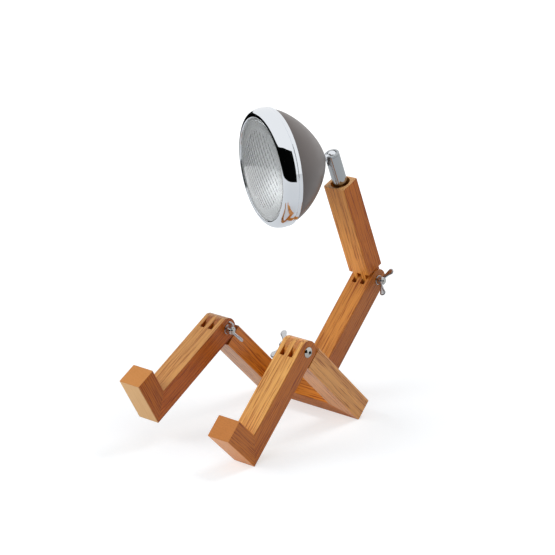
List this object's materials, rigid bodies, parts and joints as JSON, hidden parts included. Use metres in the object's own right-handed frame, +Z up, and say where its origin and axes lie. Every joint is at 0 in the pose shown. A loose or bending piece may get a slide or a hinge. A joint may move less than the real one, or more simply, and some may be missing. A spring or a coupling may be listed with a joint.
{
  "type": "desk lamp",
  "caption": "Seated jointed wooden figure as a desk lamp, with wing-nut knuckle hinges and a round chrome-rimmed lamp head.",
  "frame": {"origin": "centre of the footprint on the floor, in the seated pose of the picture", "axes": "+Z up, -Y the way the figure faces, +X its left side; every hinge of the knees and the waist lies along X"},
  "size_m": [0.1738, 0.353, 0.3524],
  "materials": {
    "oiled_wood": "oiled",
    "beech_dowel": "plain",
    "chrome": "polished",
    "zinc_steel": "zinc plated",
    "bowl_paint": "satin",
    "clear_glass": "clear",
    "mirror_aluminium": "polished",
    "heat_sink_aluminium": "satin",
    "led_yellow": "matte",
    "nylon": "matte",
    "black_rubber": "matte"
  },
  "bodies": {
    "seat_frame": {"seat_crossbar": "oiled_wood", "left_thigh": "oiled_wood", "right_thigh": "oiled_wood", "seat_dowels": "beech_dowel", "lower_torso": "oiled_wood", "torso_dowels": "beech_dowel", "waist_bolt": "chrome", "waist_washer": "zinc_steel"},
    "left_leg": {"left_shin": "oiled_wood", "left_foot": "oiled_wood", "left_foot_dowels": "beech_dowel", "left_knee_bolt": "chrome", "left_knee_washer": "zinc_steel"},
    "left_knee_nut": {"left_knee_wing_nut": "zinc_steel"},
    "right_leg": {"right_shin": "oiled_wood", "right_foot": "oiled_wood", "right_foot_dowels": "beech_dowel", "right_knee_bolt": "chrome", "right_knee_washer": "zinc_steel"},
    "right_knee_nut": {"right_knee_wing_nut": "zinc_steel"},
    "waist_nut": {"waist_wing_nut": "zinc_steel"},
    "upper_body": {"upper_torso": "oiled_wood", "neck_screw": "zinc_steel"},
    "neck": {"neck_tube": "chrome", "ball_seat": "nylon"},
    "lamp_head": {"ball_stem": "chrome", "stem_nut": "zinc_steel", "lamp_bowl": "bowl_paint", "bezel_ring": "chrome", "lens": "clear_glass", "lens_gasket": "black_rubber", "reflector": "mirror_aluminium", "heat_sink": "heat_sink_aluminium", "led_module": "led_yellow", "cord_grommet": "black_rubber"}
  },
  "joints": [
    {"name": "left_knee", "type": "hinge", "parent": "seat_frame", "child": "left_leg", "pos_m": [0.0687, -0.03414, 0.10579], "axis": [-1, 0, 0], "range_deg": [-2, 134]},
    {"name": "right_knee", "type": "hinge", "parent": "seat_frame", "child": "right_leg", "pos_m": [-0.0513, -0.03414, 0.10579], "axis": [-1, 0, 0], "range_deg": [-17, 119]},
    {"name": "waist", "type": "hinge", "parent": "seat_frame", "child": "upper_body", "pos_m": [0.0087, 0.16346, 0.12765], "axis": [-1, 0, 0], "range_deg": [-20, 80]},
    {"name": "neck_turn", "type": "hinge", "parent": "upper_body", "child": "neck", "pos_m": [0.0087, 0.11143, 0.25515], "axis": [0, -0.3778, 0.9259], "range_deg": [-90, 140]},
    {"name": "head_tilt", "type": "hinge", "parent": "neck", "child": "lamp_head", "pos_m": [0.0087, 0.09772, 0.28875], "axis": [-0.9026, 0.3986, 0.1627], "range_deg": [-17, 50]},
    {"name": "left_knee_nut_turn", "type": "hinge", "parent": "left_leg", "child": "left_knee_nut", "pos_m": [0.0487, -0.03414, 0.10579], "axis": [-1, 0, 0], "continuous": true},
    {"name": "right_knee_nut_turn", "type": "hinge", "parent": "right_leg", "child": "right_knee_nut", "pos_m": [-0.0313, -0.03414, 0.10579], "axis": [1, 0, 0], "continuous": true},
    {"name": "waist_nut_turn", "type": "hinge", "parent": "seat_frame", "child": "waist_nut", "pos_m": [0.0287, 0.16346, 0.12765], "axis": [1, 0, 0], "continuous": true}
  ]
}
